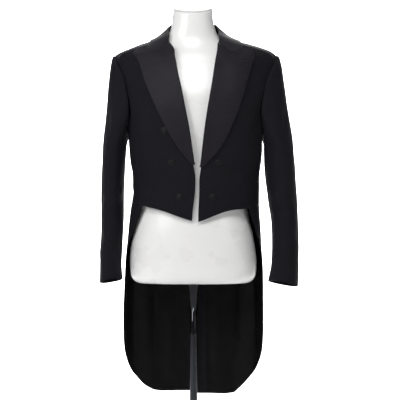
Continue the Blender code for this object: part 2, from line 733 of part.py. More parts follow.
def sleeve_rings(side):
    """Rings from the armhole down to the cuff, each with a point for every armhole station."""
    front, under, back_run = armhole(side)
    loop_places = joined(front, under, back_run)[:-1]
    loop = lay(side, loop_places[None], 0.0)[0]
    centre = loop.mean(axis=0)
    turns = np.arctan2(loop[:, 1] - centre[1], loop[:, 2] - centre[2])
    table = np.array(SLEEVE_SECTIONS[side])
    power = 2 / SLEEVE_ROUNDNESS
    cos = np.sign(np.cos(turns)) * np.abs(np.cos(turns)) ** power
    sin = np.sign(np.sin(turns)) * np.abs(np.sin(turns)) ** power

    def tube_ring(height, inner_x, outer_x, middle_y, depth):
        ring = np.empty_like(loop)
        ring[:, 0] = side * ((outer_x + inner_x) / 2 + (outer_x - inner_x) / 2 * cos)
        ring[:, 1] = middle_y + depth / 2 * sin
        ring[:, 2] = height
        return ring

    tube = [tube_ring(*row) for row in table]
    hem = tube[-1]
    middle = table[-1, 1:3].mean()
    slope = -CUFF_RISE_INWARDS * (side * hem[:, 0] - middle) - CUFF_DROP_BACK * (hem[:, 1] - table[-1, 3])
    hem[:, 2] += slope
    tube[-2][:, 2] += slope * 0.5
    start = loop + np.array((side * SLEEVE_GAP, 0.0, 0.0))
    top = np.maximum(np.cos(turns), 0.0)
    head = []
    for share, out, up in SLEEVE_HEAD:
        ring = start + share * (tube[0] - start)
        ring[:, 0] += side * out * top
        ring[:, 2] += up * top**2
        ring[:, 1] += 0.4 * out * np.sin(turns)
        head.append(ring)
    return np.array([start, *head, *tube]), centre


def sleeve_walls(side):
    """The outer and inner skins of a sleeve. Its head leans no nearer the body than its own plane."""
    rings, _ = sleeve_rings(side)
    around = np.roll(rings, -1, axis=1) - np.roll(rings, 1, axis=1)
    outward = np.cross(around, np.gradient(rings, axis=0)) * side
    if (outward[-1] * (rings[-1] - rings[-1].mean(axis=0))).sum() < 0:
        outward *= -1
    outward /= np.linalg.norm(outward, axis=2, keepdims=True)
    outward[0, :, 0] = side * np.minimum(side * outward[0, :, 0], 0.0)
    outward[0] /= np.linalg.norm(outward[0], axis=1, keepdims=True)
    return rings, rings - CLOTH * outward


def sleeves(side, cloth):
    outer, inner = sleeve_walls(side)
    first, last = UNDER_SLEEVE_STATIONS
    count = outer.shape[1]
    spans = {
        "under_sleeve": list(range(first, last + 1)),
        "top_sleeve": [spot % count for spot in range(last, first + count + 1)],
    }
    for name, stations in spans.items():
        skins = [pull_in(skin[:, stations], SEAM_GAP / 2) for skin in (outer, inner)]
        add_wall(f"{name}_{SIDE_NAMES[side]}", *skins, cloth)


# ---- Buttons ----


def add_button(name, place, facing, radius, height, finish):
    """A covered button: a low dome with a flat back, facing away from the cloth."""
    facing = facing / np.linalg.norm(facing)
    sideways = np.cross(facing, (0.0, 0.0, 1.0))
    sideways /= np.linalg.norm(sideways)
    upward = np.cross(sideways, facing)
    profile = ((0.94, 0.0), (1.0, 0.30), (0.90, 0.62), (0.60, 0.88), (0.25, 1.0))
    rings = []
    for width, rise in profile:
        turns = np.linspace(0, 2 * math.pi, 14, endpoint=False)
        circle = np.outer(np.cos(turns), sideways) + np.outer(np.sin(turns), upward)
        rings.append(place + radius * width * circle + height * rise * facing)
    return add_rings(name, rings, finish)


def front_buttons(side, silk):
    for number, (x, height) in enumerate(FRONT_BUTTONS[side], start=1):
        turn = world_turn(side, COAT.front_turn(side, x, height))
        facing = COAT.normal(turn, height)
        place = COAT.point(turn, height) + facing * BUTTON_GAP
        name = f"front_button_{SIDE_NAMES[side]}_{number}"
        add_button(name, place, facing, BUTTON_RADIUS, BUTTON_HEIGHT, silk)


def waist_button(side, silk):
    turn, height = WAIST_BUTTON
    turn = world_turn(side, turn)
    facing = COAT.normal(turn, height)
    place = COAT.point(turn, height) + facing * WAIST_BUTTON_GAP
    add_button(f"waist_button_{SIDE_NAMES[side]}", place, facing, BUTTON_RADIUS, BUTTON_HEIGHT, silk)


def cuff_buttons(side, silk):
    """Two buttons on the top sleeve, beside its back seam."""
    outer, inner = sleeve_walls(side)
    beside = UNDER_SLEEVE_STATIONS[1] + np.array((0, 1))
    hem, above = outer[-1, beside].mean(axis=0), outer[-2, beside].mean(axis=0)
    facing = (outer[-2:, beside] - inner[-2:, beside]).mean(axis=(0, 1))
    facing /= np.linalg.norm(facing)
    upward = (above - hem) / np.linalg.norm(above - hem)
    for number, rise in enumerate(CUFF_BUTTON_RISES, start=1):
        place = hem + upward * rise + facing * BUTTON_GAP
        name = f"cuff_button_{SIDE_NAMES[side]}_{number}"
        add_button(name, place, facing, CUFF_BUTTON_RADIUS, CUFF_BUTTON_HEIGHT, silk)


# ---- The form and its stand ----


def form_ring(height, share=1.0, around=40):
    turns = np.linspace(0, 360, around, endpoint=False)
    ring = np.array([FORM.point(turn, height) for turn in turns])
    middle = np.array((ring[:, 0].mean(), NECK_MIDDLE_Y if height > 1.2 else 0.0, height))
    ring = middle + (ring - middle) * np.array((share, share, 1.0))
    tilt = min(max((height - NECK_TILT_START) / (NECK_LEVEL - NECK_TILT_START), 0.0), 1.0)
    ring[:, 2] += NECK_TILT * tilt * (ring[:, 1] - NECK_MIDDLE_Y)
    return ring


def dress_form(lacquer):
    rings = []
    for angle in (0, 22, 45, 67, 90):
        drawn_in = FORM_EDGE * (1 - math.sin(math.radians(angle)))
        height = FORM_BOTTOM + FORM_EDGE * (1 - math.cos(math.radians(angle)))
        ring = form_ring(height)
        flat = ring[:, :2]
        ring[:, :2] = flat * (1 - drawn_in / np.linalg.norm(flat, axis=1, keepdims=True))
        rings.append(ring)
    rings += [form_ring(height) for height in FORM_LEVELS]
    rings.append(form_ring(NECK_LEVEL))
    return add_rings("form_torso", rings, lacquer)


def neck_cap(grey):
    """A thin disc on the sloping top of the neck, its upper edge eased."""
    rings = []
    for share, rise in ((CAP_SHARE - CAP_EASE, 0.0), (CAP_SHARE, CAP_THICKNESS - 0.001),
                        (CAP_SHARE - CAP_EASE, CAP_THICKNESS)):
        ring = form_ring(NECK_LEVEL, share)
        ring[:, 2] += SEAM_GAP * 1.5 + rise
        rings.append(ring)
    return add_rings("neck_cap", rings, grey)


def turned(name, profile, finish, around=48):
    """A round solid on the pole's axis from (radius, height) pairs, bottom to top."""
    turns = np.linspace(0, 2 * math.pi, around, endpoint=False)
    rings = [
        np.column_stack([radius * np.cos(turns), radius * np.sin(turns), np.full(around, height)])
        for radius, height in profile
    ]
    return add_rings(name, rings, finish, 30.0)


def stand(chrome, steel):
    base_top = BASE_THICKNESS
    turned("stand_base", (
        (BASE_RADIUS - 0.001, 0.0),
        (BASE_RADIUS, 0.001),
        (BASE_RADIUS, base_top - 0.003),
        (BASE_RADIUS - 0.003, base_top),
    ), steel)
    flange_foot = base_top + SEAM_GAP
    turned("stand_flange", (
        (FLANGE_RADIUS, flange_foot),
        (FLANGE_RADIUS, flange_foot + FLANGE_HEIGHT * 0.5),
        (FLANGE_RADIUS * 0.72, flange_foot + FLANGE_HEIGHT * 0.86),
        (FLANGE_RADIUS * 0.62, flange_foot + FLANGE_HEIGHT),
    ), chrome)
    pole_foot = flange_foot + FLANGE_HEIGHT + SEAM_GAP
    turned("stand_pole", ((POLE_RADIUS, pole_foot), (POLE_RADIUS, FORM_BOTTOM - SEAM_GAP)), chrome, 24)


for old in list(bpy.data.objects):
    bpy.data.objects.remove(old)

wool = material("black_barathea", (0.014, 0.013, 0.016), 0.85)
satin_silk = material("black_silk_satin", (0.030, 0.028, 0.033), 0.42)
lining_satin = material("black_lining_satin", (0.006, 0.006, 0.006), 0.38)
white_lacquer = material("white_lacquer", (0.86, 0.86, 0.86), 0.35)
cap_grey = material("grey_cap", (0.74, 0.74, 0.74), 0.45)
chrome_plate = material("chrome_plate", (0.62, 0.62, 0.63), 0.10, 1.0)
base_steel = material("brushed_steel", (0.58, 0.58, 0.58), 0.28, 1.0)

for which in (LEFT, RIGHT):
    forepart(which, wool)
    side_body(which, wool)
    back(which, wool)
    skirt(which, wool)
    tail_lining(which, lining_satin)
    lapel(which, satin_silk)
    sleeves(which, wool)
    front_buttons(which, satin_silk)
    waist_button(which, satin_silk)
    cuff_buttons(which, satin_silk)
collar(wool, satin_silk)
dress_form(white_lacquer)
neck_cap(cap_grey)
stand(chrome_plate, base_steel)
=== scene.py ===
"""A white tie tailcoat on a white limbless dress form, which stands on a pole and a round base.

Metres, +Z up, front towards -Y. Left and right are the wearer's, so the left side is at +X.
"""

import json
import math

import bmesh
import bpy
import numpy as np
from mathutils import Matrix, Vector, noise

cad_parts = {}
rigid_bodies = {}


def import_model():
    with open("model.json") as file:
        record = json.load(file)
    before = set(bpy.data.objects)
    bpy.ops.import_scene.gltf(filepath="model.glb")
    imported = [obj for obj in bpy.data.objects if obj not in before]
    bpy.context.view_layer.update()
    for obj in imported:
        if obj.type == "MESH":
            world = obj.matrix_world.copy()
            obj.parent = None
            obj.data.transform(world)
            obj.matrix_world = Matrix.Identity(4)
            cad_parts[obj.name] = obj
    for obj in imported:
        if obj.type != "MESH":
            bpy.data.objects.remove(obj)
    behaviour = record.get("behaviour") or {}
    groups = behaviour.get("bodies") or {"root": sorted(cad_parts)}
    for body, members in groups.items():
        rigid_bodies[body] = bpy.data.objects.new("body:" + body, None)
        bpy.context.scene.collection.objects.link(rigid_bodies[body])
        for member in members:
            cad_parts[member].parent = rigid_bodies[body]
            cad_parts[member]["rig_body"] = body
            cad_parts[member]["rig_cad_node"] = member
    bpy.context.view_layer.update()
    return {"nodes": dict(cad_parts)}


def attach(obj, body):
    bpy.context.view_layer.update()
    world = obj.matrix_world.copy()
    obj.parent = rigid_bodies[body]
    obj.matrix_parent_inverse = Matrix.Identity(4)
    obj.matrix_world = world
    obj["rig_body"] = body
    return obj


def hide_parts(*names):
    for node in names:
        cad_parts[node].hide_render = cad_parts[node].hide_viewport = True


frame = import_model()

# ---- Round base plate ----
# The real piece is a turned plate of mild steel, 380 mm across and 9 mm thick, brushed in
# circles on a lathe and lacquered. It is screwed up into the pole's flange from below.


def colour(code):
    """An sRGB hex colour as linear RGBA."""
    channels = [int(code[start : start + 2], 16) / 255 for start in (1, 3, 5)]
    linear = [c / 12.92 if c <= 0.04045 else ((c + 0.055) / 1.055) ** 2.4 for c in channels]
    return (*linear, 1.0)


def add_node(tree, kind, settings=None, **links):
    """A node with its settings, and inputs that are either values or another node's output.

    An input is named with _ for each space, or as i0, i1 and so on by its number.
    """
    made = tree.nodes.new(kind)
    for name, value in (settings or {}).items():
        setattr(made, name, value)
    for name, value in links.items():
        numbered = name[0] == "i" and name[1:].isdigit()
        socket = made.inputs[int(name[1:]) if numbered else name.replace("_", " ")]
        if isinstance(value, bpy.types.NodeSocket):
            tree.links.new(value, socket)
        else:
            socket.default_value = value
    return made


def new_finish(name):
    """An empty material, its node tree and its shader."""
    made = bpy.data.materials.new(name)
    made.use_nodes = True
    return made, made.node_tree, made.node_tree.nodes["Principled BSDF"]


def smooth_copy(node, finish, levels=2, sharp=35):
    """A piece that stands for a CAD node: its shape with every rounding made smooth."""
    made = frame["nodes"][node].copy()
    made.data = frame["nodes"][node].data.copy()
    made.name = f"{node}_finished"
    made.parent = None
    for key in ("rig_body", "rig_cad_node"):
        del made[key]
    bpy.context.scene.collection.objects.link(made)
    bpy.ops.object.select_all(action="DESELECT")
    made.select_set(True)
    bpy.context.view_layer.objects.active = made
    bpy.ops.object.mode_set(mode="EDIT")
    bpy.ops.mesh.select_all(action="SELECT")
    bpy.ops.mesh.remove_doubles(threshold=0.00001)
    bpy.ops.mesh.dissolve_limited(angle_limit=math.radians(0.5))
    bpy.ops.mesh.tris_convert_to_quads(face_threshold=math.radians(60), shape_threshold=math.radians(60))
    bpy.ops.object.mode_set(mode="OBJECT")
    shape = bmesh.new()
    shape.from_mesh(made.data)
    crease = shape.edges.layers.float.new("crease_edge")
    for edge in shape.edges:
        if edge.calc_face_angle(0) > math.radians(sharp):
            edge[crease] = 1.0
    shape.to_mesh(made.data)
    shape.free()
    rounding = made.modifiers.new("rounding", "SUBSURF")
    rounding.levels = rounding.render_levels = levels
    bpy.ops.object.modifier_apply(modifier="rounding")
    bpy.ops.object.shade_smooth_by_angle(angle=math.radians(sharp))
    made.data.materials.clear()
    made.data.materials.append(finish)
    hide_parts(node)
    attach(made, "root")
    return made


# Brushed mild steel: fine rings from the lathe stretch each highlight across them.
brushed_steel, tree, shader = new_finish("brushed_mild_steel")
shader.inputs["Base Color"].default_value = colour("#b4b4b3")
shader.inputs["Metallic"].default_value = 1.0
place = add_node(tree, "ShaderNodeTexCoord")
# Brush marks are about 0.3 mm apart, drawn 1.2 mm apart so that they show.
rings = add_node(tree, "ShaderNodeTexWave", {"wave_type": "RINGS", "rings_direction": "Z"},
                 Vector=place.outputs["Object"], Scale=260.0, Distortion=1.6, Detail=3.0, Detail_Scale=1.5)
wear = add_node(tree, "ShaderNodeTexNoise", Vector=place.outputs["Object"], Scale=9.0, Detail=6.0)
rough = add_node(tree, "ShaderNodeMapRange", Value=wear.outputs["Fac"], To_Min=0.24, To_Max=0.40)
tree.links.new(rough.outputs["Result"], shader.inputs["Roughness"])
bump = add_node(tree, "ShaderNodeBump", Height=rings.outputs["Fac"], Strength=0.12, Distance=0.0002)
tree.links.new(bump.outputs["Normal"], shader.inputs["Normal"])
smooth_copy("stand_base", brushed_steel)

# ---- Flange and pole ----
# The real pole is 22 mm steel tube, polished and chromed, pressed into a turned
# flange of the same finish. It runs up into a socket in the form's underside.
chrome, tree, shader = new_finish("polished_chrome_painted_dark")
# Painted reflection: the chrome's base colour is made dark to stand in for the dark lining and room that
# the polished pole reflects.
shader.inputs["Base Color"].default_value = colour("#3c3d41")
shader.inputs["Metallic"].default_value = 1.0
place = add_node(tree, "ShaderNodeTexCoord")
# Polishing marks run round the tube about 2 mm apart; smears from hands are 30 mm long.
stretch = add_node(tree, "ShaderNodeMapping", Vector=place.outputs["Object"], Scale=(40.0, 40.0, 500.0))
marks = add_node(tree, "ShaderNodeTexNoise", Vector=stretch.outputs["Vector"], Scale=1.0, Detail=2.0)
smears = add_node(tree, "ShaderNodeTexNoise", Vector=place.outputs["Object"], Scale=33.0, Detail=4.0)
rough = add_node(tree, "ShaderNodeMapRange", Value=smears.outputs["Fac"], To_Min=0.05, To_Max=0.16)
tree.links.new(rough.outputs["Result"], shader.inputs["Roughness"])
bump = add_node(tree, "ShaderNodeBump", Height=marks.outputs["Fac"], Strength=0.06, Distance=0.0002)
tree.links.new(bump.outputs["Normal"], shader.inputs["Normal"])
for node in ("stand_pole", "stand_flange"):
    smooth_copy(node, chrome)

# ---- Form ----
# The real form is a hollow moulding in glass fibre, sanded and sprayed with white lacquer. Its
# neck is closed by a pale grey disc.
lacquer, tree, shader = new_finish("white_lacquered_glass_fibre")
shader.inputs["IOR"].default_value = 1.5
shader.inputs["Coat Weight"].default_value = 0.35
shader.inputs["Coat Roughness"].default_value = 0.12
place = add_node(tree, "ShaderNodeTexCoord")
# Handling greys the lacquer slightly in patches about 80 mm wide.
patches = add_node(tree, "ShaderNodeTexNoise", Vector=place.outputs["Object"], Scale=12.0, Detail=3.0)
tint = add_node(tree, "ShaderNodeMix", {"data_type": "RGBA"}, i0=patches.outputs["Fac"],
                i6=colour("#ecebea"), i7=colour("#f6f6f5"))
tree.links.new(tint.outputs[2], shader.inputs["Base Color"])
rough = add_node(tree, "ShaderNodeMapRange", Value=patches.outputs["Fac"], To_Min=0.22, To_Max=0.34)
tree.links.new(rough.outputs["Result"], shader.inputs["Roughness"])
# Sprayed lacquer has orange peel, ripples about 1.5 mm across and 0.02 mm deep.
peel = add_node(tree, "ShaderNodeTexNoise", Vector=place.outputs["Object"], Scale=650.0, Detail=1.0)
bump = add_node(tree, "ShaderNodeBump", Height=peel.outputs["Fac"], Strength=0.10, Distance=0.0002)
tree.links.new(bump.outputs["Normal"], shader.inputs["Normal"])
tree.links.new(bump.outputs["Normal"], shader.inputs["Coat Normal"])
smooth_copy("form_torso", lacquer, sharp=60)

# The disc is matt vacuum-formed styrene, with a fine pebbled skin about 0.8 mm across.
cap_grey, tree, shader = new_finish("pale_grey_styrene")
shader.inputs["Base Color"].default_value = colour("#dededd")
place = add_node(tree, "ShaderNodeTexCoord")
pebbles = add_node(tree, "ShaderNodeTexVoronoi", Vector=place.outputs["Object"], Scale=1250.0)
rough = add_node(tree, "ShaderNodeMapRange", Value=pebbles.outputs["Distance"], To_Min=0.42, To_Max=0.58)
tree.links.new(rough.outputs["Result"], shader.inputs["Roughness"])
bump = add_node(tree, "ShaderNodeBump", Height=pebbles.outputs["Distance"],
                Strength=0.15, Distance=0.0001)
tree.links.new(bump.outputs["Normal"], shader.inputs["Normal"])
smooth_copy("neck_cap", cap_grey)

# ---- Body of the coat ----
# The real body is black wool barathea, cut as a forepart, a side body and a back on each side,
# with the back running down into the tail and a skirt joined to it at the waist. Canvas and
# pads shape the chest and shoulders. All seams are machine sewn and pressed open.
CLOTH = 0.0016
SIDES = {"left": 1, "right": -1}


def outer_face(node, middle_x, start, along, bend=50):
    """The outer face of a cloth wall as a grid of points.

    Its first row runs from the corner nearest start to the corner nearest along. The wall itself
    bends by less than bend degrees between two faces, and its edges by more.
    """
    shape = bmesh.new()
    shape.from_mesh(frame["nodes"][node].data)
    bmesh.ops.remove_doubles(shape, verts=shape.verts, dist=0.00001)
    unseen = set(shape.faces)
    regions = []
    while unseen:
        queue = [unseen.pop()]
        region = set(queue)
        while queue:
            for edge in queue.pop().edges:
                for other in edge.link_faces:
                    if other in unseen and edge.calc_face_angle(0) < math.radians(bend):
                        unseen.remove(other)
                        region.add(other)
                        queue.append(other)
        regions.append(region)
    regions.sort(key=lambda region: -sum(face.calc_area() for face in region))

    def faces_out(region):
        total = 0.0
        for face in region:
            centre = face.calc_center_median()
            total += face.calc_area() * face.normal.dot(Vector((centre.x - middle_x, centre.y, 0)))
        return total

    region = max(regions[:2], key=faces_out)

    def on_rim(edge):
        return sum(face in region for face in edge.link_faces) == 1

    # Each cell is two triangles. The slanting edge inside each cell is found from a corner on.
    first = next(face for face in region if sum(on_rim(edge) for edge in face.edges) == 2)
    slants = {first: next(edge for edge in first.edges if not on_rim(edge))}
    queue = [first]
    while queue:
        face = queue.pop()
        for edge in face.edges:
            for other in edge.link_faces:
                if other not in region or other in slants:
                    continue
                if edge == slants[face]:
                    slants[other] = edge
                else:
                    turn = next(vert for vert in edge.verts if vert not in slants[face].verts)
                    slants[other] = next(e for e in other.edges if e != edge and turn in e.verts)
                queue.append(other)
    slanting = set(slants.values())
    beside = {}
    for face in region:
        for edge in face.edges:
            if edge not in slanting:
                one, other = edge.verts
                beside.setdefault(one, set()).add(other)
                beside.setdefault(other, set()).add(one)
    rim = {vert for face in region for edge in face.edges if on_rim(edge) for vert in edge.verts}
    corners = [vert for vert, others in beside.items() if len(others) == 2]
    corner = min(corners, key=lambda vert: (vert.co - Vector(start)).length)
    goal = min((c for c in corners if c != corner), key=lambda vert: (vert.co - Vector(along)).length)
    row = None
    for step in beside[corner]:
        walk = [corner, step]
        while walk[-1] not in corners:
            ahead = (v for v in beside[walk[-1]] if v in rim and v not in walk)
            walk.append(next(v for v in ahead if len(beside[v]) < 4))
        if walk[-1] == goal:
            row = walk
    rows = [row]
    used = set(row)
    while True:
        fresh = [vert for vert in beside[row[0]] if vert not in used]
        if not fresh:
            break
        after = [fresh[0]]
        for vert in row[1:]:
            after.append(next(v for v in beside[vert] if v in beside[after[-1]] and v not in used))
        used.update(after)
        row = after
        rows.append(row)
    points = np.array([[tuple(vert.co) for vert in row] for row in rows])
    shape.free()
    return points


def smoother(points, step):
    """The points on smooth curves along the first axis, about step apart. True corners stay."""
    chords = np.diff(points, axis=0)
    marks = np.concatenate([[0.0], np.cumsum(np.linalg.norm(chords, axis=2).mean(axis=1))])
    widths = np.diff(marks)[:, None, None]
    rises = chords / widths
    before, after = rises[:-1], rises[1:]
    even = (after * widths[:-1] + before * widths[1:]) / (widths[:-1] + widths[1:])
    lengths = np.linalg.norm(before, axis=2) * np.linalg.norm(after, axis=2)
    angles = np.arccos(np.clip((before * after).sum(axis=2) / lengths, -1, 1))
    corner = np.clip((angles - 0.5) / 0.3, 0, 1)[..., None]
    arriving = np.concatenate([rises[:1], even * (1 - corner) + before * corner, rises[-1:]])
    leaving = np.concatenate([rises[:1], even * (1 - corner) + after * corner, rises[-1:]])
    at = np.linspace(0, marks[-1], max(int(round(marks[-1] / step)), len(points)) + 1)
    index = np.clip(np.searchsorted(marks, at) - 1, 0, len(marks) - 2)
    t = ((at - marks[index]) / np.diff(marks)[index])[:, None, None]
    width = widths[index]
    start = points[index] * (1 + 2 * t) * (1 - t) ** 2 + leaving[index] * width * t * (1 - t) ** 2
    end = points[index + 1] * t * t * (3 - 2 * t) + arriving[index + 1] * width * t * t * (t - 1)
    return start + end


def fine_grid(points, step):
    return smoother(smoother(points, step).swapaxes(0, 1), step).swapaxes(0, 1)


def outward(points, middle_x):
    """Unit normals of a grid, on the side away from the upright line at middle_x."""
    normals = np.cross(np.gradient(points, axis=1), np.gradient(points, axis=0))
    normals /= np.linalg.norm(normals, axis=2, keepdims=True)
    away = points * (1, 1, 0) - (middle_x, 0, 0)
    return normals if (normals * away).sum() > 0 else -normals


def folds(points, lines):
    """How far the cloth stands out at each point, from soft ridges and troughs along lines."""
    total = np.zeros(points.shape[:-1])
    for start, end, width, height in lines:
        start, along = np.array(start), np.array(end) - np.array(start)
        share = np.clip(((points - start) @ along) / (along @ along), 0, 1)
        gap = np.linalg.norm(points - start - share[..., None] * along, axis=-1)
        total += height * np.exp(-((gap / width) ** 2)) * np.sin(math.pi * (0.12 + 0.76 * share))
    return total


def uneven(points, size, height, seed):
    """Gentle unevenness of the cloth, with hollows about size across."""
    flat = points.reshape(-1, 3) / size + (seed, 0, 0)
    return height * np.array([noise.noise(Vector(place)) for place in flat]).reshape(points.shape[:-1])


def edge_distance(points):
    """Distance along the cloth from each point to the nearest of the grid's four edges."""
    found = np.full(points.shape[:2], 1.0)
    for axis in (0, 1):
        steps = np.linalg.norm(np.diff(points, axis=axis), axis=2)
        first = np.zeros_like(found).take([0], axis=axis)
        gone = np.concatenate([first, np.cumsum(steps, axis=axis)], axis=axis)
        found = np.minimum(found, np.minimum(gone, gone.take([-1], axis=axis) - gone))
    return found


def add_cloth(name, points, normals, thickness, finish, node):
    """A thin closed shell of cloth under a grid of points, with rounded edges and a flat map of the cut.
    """
    rows, columns = points.shape[:2]
    count = rows * columns
    inner = points - normals * thickness
    index = np.arange(count).reshape(rows, columns)
    cells = np.stack([index[:-1, :-1], index[:-1, 1:], index[1:, 1:], index[1:, :-1]], axis=-1)
    cells = cells.reshape(-1, 4)
    border = np.concatenate([index[0, :-1], index[:-1, -1], index[-1, :0:-1], index[:0:-1, 0]])
    within = np.concatenate([index[1, :-1], index[:-1, -2], index[-2, :0:-1], index[:0:-1, 1]])
    flat_points = points.reshape(-1, 3)
    out = flat_points[border] - flat_points[within]
    out /= np.linalg.norm(out, axis=1, keepdims=True)
    middle = (flat_points[border] + inner.reshape(-1, 3)[border]) / 2 + out * thickness * 0.12
    ring = np.arange(len(border))
    after = np.roll(ring, -1)
    edge, next_edge = 2 * count + ring, 2 * count + after
    top_rim = np.stack([border[ring], edge, next_edge, border[after]], axis=-1)
    low_rim = np.stack([edge, count + border[ring], count + border[after], next_edge], axis=-1)
    faces = np.concatenate([cells, count + cells[:, ::-1], top_rim, low_rim])
    mesh = bpy.data.meshes.new(name)
    vertices = np.concatenate([flat_points, inner.reshape(-1, 3), middle])
    mesh.from_pydata(vertices.tolist(), [], faces.tolist())
    widths = np.linalg.norm(np.diff(points, axis=1), axis=2).mean(axis=0)
    heights = np.linalg.norm(np.diff(points, axis=0), axis=2).mean(axis=1)
    across = np.concatenate([[0.0], np.cumsum(widths)])
    up = np.concatenate([[0.0], np.cumsum(heights)])
    cut = np.stack(np.meshgrid(across, up), axis=-1).reshape(-1, 2)
    cut = np.concatenate([cut, cut, cut[border]])
    corner_of = np.empty(len(mesh.loops), np.int32)
    mesh.loops.foreach_get("vertex_index", corner_of)
    mesh.uv_layers.new(name="cut").data.foreach_set("uv", cut[corner_of].ravel())
    made = bpy.data.objects.new(name, mesh)
    bpy.context.scene.collection.objects.link(made)
    bpy.ops.object.select_all(action="DESELECT")
    made.select_set(True)
    bpy.context.view_layer.objects.active = made
    bpy.ops.object.mode_set(mode="EDIT")
    bpy.ops.mesh.select_all(action="SELECT")
    bpy.ops.mesh.normals_make_consistent(inside=False)
    bpy.ops.object.mode_set(mode="OBJECT")
    bpy.ops.object.shade_smooth_by_angle(angle=math.radians(60))
    mesh.materials.append(finish)
    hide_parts(node)
    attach(made, "root")
    return made


# Wool barathea: a close broken rib with a dry, slightly hairy face and almost no shine. Its ribs
# are 0.5 mm apart, drawn 1.4 mm apart so that they show.
barathea, tree, shader = new_finish("black_wool_barathea")
shader.inputs["Specular IOR Level"].default_value = 0.12
shader.inputs["Sheen Weight"].default_value = 0.07
shader.inputs["Sheen Roughness"].default_value = 0.45
shader.inputs["Sheen Tint"].default_value = colour("#8f8a9c")
cut = add_node(tree, "ShaderNodeTexCoord")
warp = add_node(tree, "ShaderNodeTexWave", {"bands_direction": "DIAGONAL"}, Vector=cut.outputs["UV"],
                Scale=360.0, Distortion=0.8, Detail=2.0, Detail_Scale=3.0)
weft = add_node(tree, "ShaderNodeTexWave", {"bands_direction": "Y"}, Vector=cut.outputs["UV"],
                Scale=360.0, Distortion=1.2, Detail=2.0, Detail_Scale=3.0)
weave = add_node(tree, "ShaderNodeMath", {"operation": "MULTIPLY"},
                 i0=warp.outputs["Fac"], i1=weft.outputs["Fac"])
# Loose fibres are 2 to 4 mm long; wear and pressing shade the cloth over 60 mm.
hairs = add_node(tree, "ShaderNodeTexNoise", Vector=cut.outputs["UV"], Scale=420.0, Detail=4.0)
wear = add_node(tree, "ShaderNodeTexNoise", Vector=cut.outputs["Object"], Scale=16.0, Detail=5.0)
shade = add_node(tree, "ShaderNodeMath", {"operation": "MULTIPLY_ADD"}, i0=hairs.outputs["Fac"], i1=0.5,
                 i2=wear.outputs["Fac"])
tint = add_node(tree, "ShaderNodeMix", {"data_type": "RGBA"}, i0=shade.outputs["Value"],
                i6=colour("#0e0d11"), i7=colour("#18171c"))
tree.links.new(tint.outputs[2], shader.inputs["Base Color"])
rough = add_node(tree, "ShaderNodeMapRange", Value=wear.outputs["Fac"], To_Min=0.74, To_Max=0.92)
tree.links.new(rough.outputs["Result"], shader.inputs["Roughness"])
relief = add_node(tree, "ShaderNodeMath", {"operation": "MULTIPLY_ADD"}, i0=hairs.outputs["Fac"], i1=0.6,
                  i2=weave.outputs["Value"])
bump = add_node(tree, "ShaderNodeBump", Height=relief.outputs["Value"], Strength=0.35, Distance=0.0003)
tree.links.new(bump.outputs["Normal"], shader.inputs["Normal"])

# Main creases of the body and tails, for the wearer's left: start, end, width and how far the
# cloth stands out. The right side's lie a little apart from them.
BODY_FOLDS = (
    ((0.190, -0.055, 1.120), (0.172, -0.085, 1.000), 0.014, -0.0030),
    ((0.196, -0.030, 1.090), (0.186, -0.050, 0.985), 0.013, 0.0024),
    ((0.178, 0.010, 0.880), (0.120, -0.100, 0.925), 0.011, 0.0018),
    ((0.176, 0.020, 0.860), (0.130, -0.090, 0.885), 0.010, -0.0018),
    ((0.150, 0.085, 1.130), (0.090, 0.122, 0.990), 0.018, 0.0028),
    ((0.172, 0.060, 1.060), (0.120, 0.110, 0.960), 0.014, -0.0026),
    ((0.020, 0.104, 0.905), (0.140, 0.085, 0.885), 0.010, -0.0020),
    ((0.015, 0.103, 0.880), (0.120, 0.092, 0.868), 0.008, 0.0016),
    ((0.170, 0.075, 0.720), (0.176, 0.080, 0.330), 0.016, 0.0060),
    ((0.140, 0.105, 0.760), (0.143, 0.106, 0.300), 0.018, -0.0065),
    ((0.105, 0.122, 0.730), (0.108, 0.118, 0.300), 0.016, 0.0060),
    ((0.070, 0.128, 0.700), (0.074, 0.123, 0.290), 0.015, -0.0055),
    ((0.036, 0.130, 0.680), (0.040, 0.124, 0.290), 0.013, 0.0045),
)
# The right side's creases drift this far. Near the middle seam and the front edges, which are
# pressed, they die away. Between them the cloth has hollows of this size and depth.
FOLD_DRIFT = 0.008
CALM_WIDTH = 0.03
BODY_HOLLOW, BODY_UNEVEN = 0.075, 0.0011


def on_side(lines, side, drift):
    """Crease lines for one side; those of the right side are moved and scaled unevenly."""
    if side > 0:
        return lines
    moved = []
    for number, (start, end, width, height) in enumerate(lines):
        shift = drift * math.sin(2.3 * number + 1.0)
        start = (-start[0] + shift, start[1], start[2] + shift)
        end = (-end[0] + shift * 0.5, end[1], end[2] - shift)
        moved.append((start, end, width, height * (1.0 + 0.22 * math.cos(1.7 * number))))
    return moved


def body_shape(points, side):
    """How far the worn cloth stands off its cut shape, on the body and tails."""
    calm = np.clip((abs(points[..., 0]) - CALM_WIDTH) / CALM_WIDTH, 0.25, 1.0)
    creases = folds(points, on_side(BODY_FOLDS, side, FOLD_DRIFT)) * calm
    return creases + uneven(points, BODY_HOLLOW, BODY_UNEVEN, 3.0 + side)


def pressed_edges(points, depth=0.0005, width=0.0022):
    """Edges and seams are pressed flatter than the cloth between them."""
    return -depth * np.exp(-((edge_distance(points) / width) ** 2))
